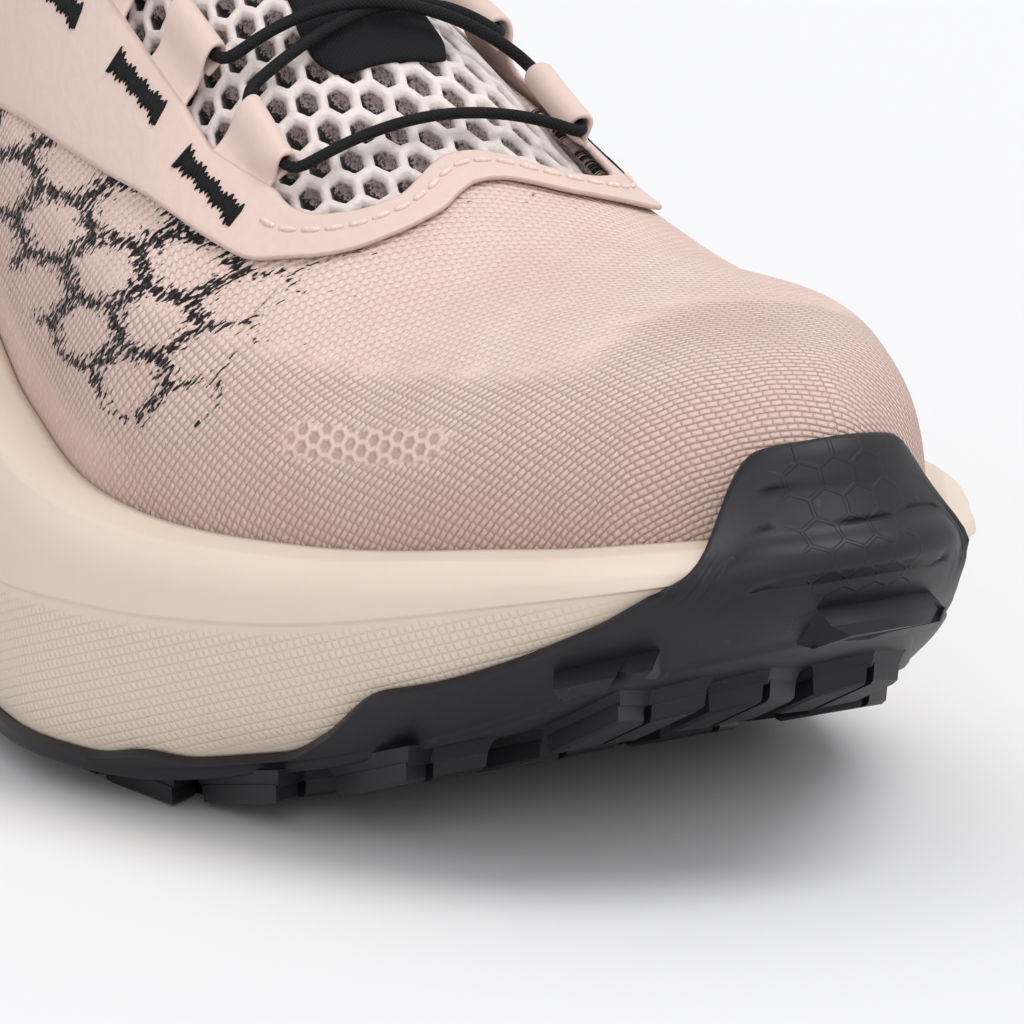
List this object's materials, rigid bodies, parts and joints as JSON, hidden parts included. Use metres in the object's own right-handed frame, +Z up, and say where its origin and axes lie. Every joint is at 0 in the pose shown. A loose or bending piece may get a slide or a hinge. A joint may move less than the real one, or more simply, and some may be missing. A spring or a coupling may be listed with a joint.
{
  "type": "trail running shoe",
  "caption": "Empty trail running shoe for the right foot, with a lugged rubber sole, thick foam midsole, knit upper, padded tongue and laced throat.",
  "frame": {"origin": "on the floor, under the middle of the whole shoe's length and width", "axes": "+X to the toe, +Y to the inner side of the foot, +Z up"},
  "size_m": [0.2812, 0.1088, 0.1414],
  "materials": {
    "sole_rubber": "satin moulded rubber",
    "midsole_foam": "matte moulded foam",
    "insole_cloth": "matte cloth over foam",
    "upper_knit": "matte ribbed knit",
    "tongue_mesh": "open spacer mesh",
    "strip_cloth": "matte woven strip",
    "eyestay_band": "smooth fused film on knit",
    "lace_cord": "matte woven cord"
  },
  "bodies": {
    "root": {"outsole": "sole_rubber", "midsole": "midsole_foam", "insole": "insole_cloth", "upper": "upper_knit", "tongue": "tongue_mesh", "tongue_strip": "strip_cloth", "eyestay": "eyestay_band", "lace_bar": "lace_cord", "lace_cross_1": "lace_cord", "lace_cross_2": "lace_cord", "lace_cross_3": "lace_cord", "lace_cross_4": "lace_cord"}
  },
  "joints": []
}
